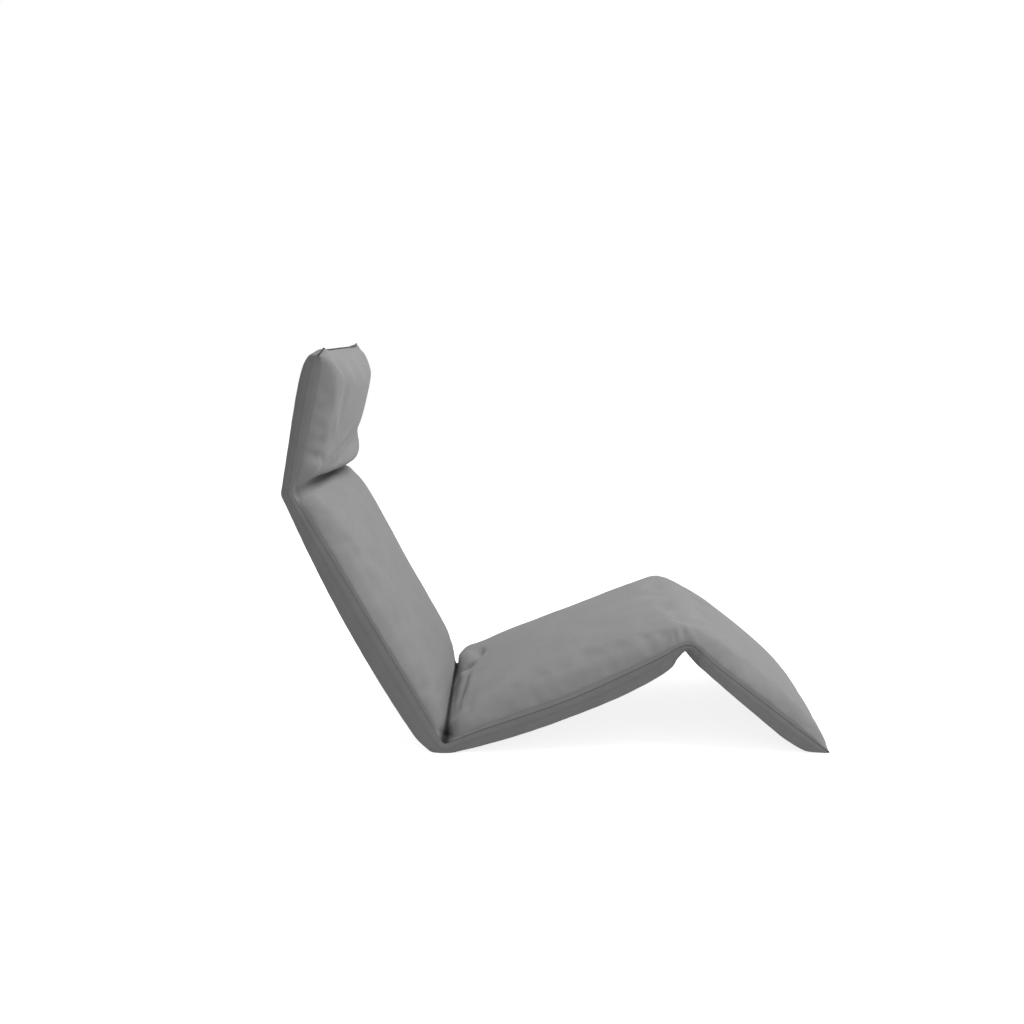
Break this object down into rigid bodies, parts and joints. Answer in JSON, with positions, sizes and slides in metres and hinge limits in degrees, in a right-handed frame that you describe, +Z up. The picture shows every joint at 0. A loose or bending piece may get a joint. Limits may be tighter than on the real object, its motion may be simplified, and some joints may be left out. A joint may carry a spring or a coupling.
{
  "type": "folding floor lounger",
  "caption": "Padded legless floor lounger: a long grey cushion in hinged sections whose backrest, headrest and legrest are held by ratchets and fold flat.",
  "frame": {"origin": "middle of the flat patch under the hip, where the lounger stands on the floor", "axes": "+X towards the feet, +Y across the pad, +Z up"},
  "size_m": [1.0892, 0.6, 0.8043],
  "materials": {
    "upper_fabric": "matte",
    "lower_fabric": "matte",
    "cushion_foam": "matte",
    "base_felt": "matte",
    "webbing": "matte",
    "frame_steel": "satin",
    "hinge_steel": "satin",
    "rivet_steel": "satin",
    "spring_steel": "satin",
    "zip_tape": "matte",
    "zip_metal": "satin"
  },
  "bodies": {
    "seat": {"hip_fork_left": "hinge_steel", "hip_fork_right": "hinge_steel", "hip_pawl_pins": "rivet_steel", "hip_pawl_springs": "spring_steel", "hip_pivot_rivets": "rivet_steel", "knee_fork_left": "hinge_steel", "knee_fork_right": "hinge_steel", "knee_pawl_pins": "rivet_steel", "knee_pawl_springs": "spring_steel", "knee_pivot_rivets": "rivet_steel", "seat_base_pad": "base_felt", "seat_cross_tubes": "frame_steel", "seat_foam": "cushion_foam", "seat_lower_cover": "lower_fabric", "seat_rail_left": "frame_steel", "seat_rail_right": "frame_steel", "seat_straps": "webbing", "seat_upper_cover": "upper_fabric", "seat_zip": "zip_tape"},
    "backrest": {"backrest_base_pad": "base_felt", "backrest_cross_tubes": "frame_steel", "backrest_foam": "cushion_foam", "backrest_lower_cover": "lower_fabric", "backrest_rail_left": "frame_steel", "backrest_rail_right": "frame_steel", "backrest_straps": "webbing", "backrest_upper_cover": "upper_fabric", "head_fork_left": "hinge_steel", "head_fork_right": "hinge_steel", "head_pawl_pins": "rivet_steel", "head_pawl_springs": "spring_steel", "head_pivot_rivets": "rivet_steel", "hip_sector_left": "hinge_steel", "hip_sector_right": "hinge_steel"},
    "headrest": {"head_sector_left": "hinge_steel", "head_sector_right": "hinge_steel", "headrest_base_pad": "base_felt", "headrest_foam": "cushion_foam", "headrest_frame_tube": "frame_steel", "headrest_lower_cover": "lower_fabric", "headrest_straps": "webbing", "headrest_upper_cover": "upper_fabric"},
    "legrest": {"knee_sector_left": "hinge_steel", "knee_sector_right": "hinge_steel", "legrest_base_pad": "base_felt", "legrest_foam": "cushion_foam", "legrest_frame_tube": "frame_steel", "legrest_lower_cover": "lower_fabric", "legrest_straps": "webbing", "legrest_upper_cover": "upper_fabric"},
    "hip_pawls": {"hip_pawl_left": "hinge_steel", "hip_pawl_right": "hinge_steel"},
    "knee_pawls": {"knee_pawl_left": "hinge_steel", "knee_pawl_right": "hinge_steel"},
    "head_pawls": {"head_pawl_left": "hinge_steel", "head_pawl_right": "hinge_steel"},
    "zip_slider": {"zip_slider": "zip_metal"}
  },
  "joints": [
    {"name": "hip_recline", "type": "hinge", "parent": "seat", "child": "backrest", "pos_m": [0, 0, 0.0195], "axis": [0, -1, 0], "range_deg": [0, 82.5]},
    {"name": "head_tilt", "type": "hinge", "parent": "backrest", "child": "headrest", "pos_m": [-0.29252, 0, 0.52727], "axis": [0, -1, 0], "range_deg": [0, 42]},
    {"name": "knee_lift", "type": "hinge", "parent": "seat", "child": "legrest", "pos_m": [0.48985, 0, 0.22186], "axis": [0, -1, 0], "range_deg": [0, 60]},
    {"name": "hip_pawl_lift", "type": "hinge", "parent": "seat", "child": "hip_pawls", "pos_m": [0.0169, 0, 0.03622], "axis": [0, -1, 0], "range_deg": [0, 12], "stiffness_Nm_per_rad": 0.05, "springref_deg": -11.46},
    {"name": "knee_pawl_lift", "type": "hinge", "parent": "seat", "child": "knee_pawls", "pos_m": [0.47295, 0, 0.20514], "axis": [0, -1, 0], "range_deg": [0, 12], "stiffness_Nm_per_rad": 0.05, "springref_deg": -11.46},
    {"name": "head_pawl_lift", "type": "hinge", "parent": "backrest", "child": "head_pawls", "pos_m": [-0.27374, 0, 0.5127], "axis": [0, -1, 0], "range_deg": [0, 12], "stiffness_Nm_per_rad": 0.05, "springref_deg": -11.46},
    {"name": "zip_run", "type": "slide", "parent": "seat", "child": "zip_slider", "axis": [0, 1, 0], "range_m": [0, 0.388]}
  ]
}
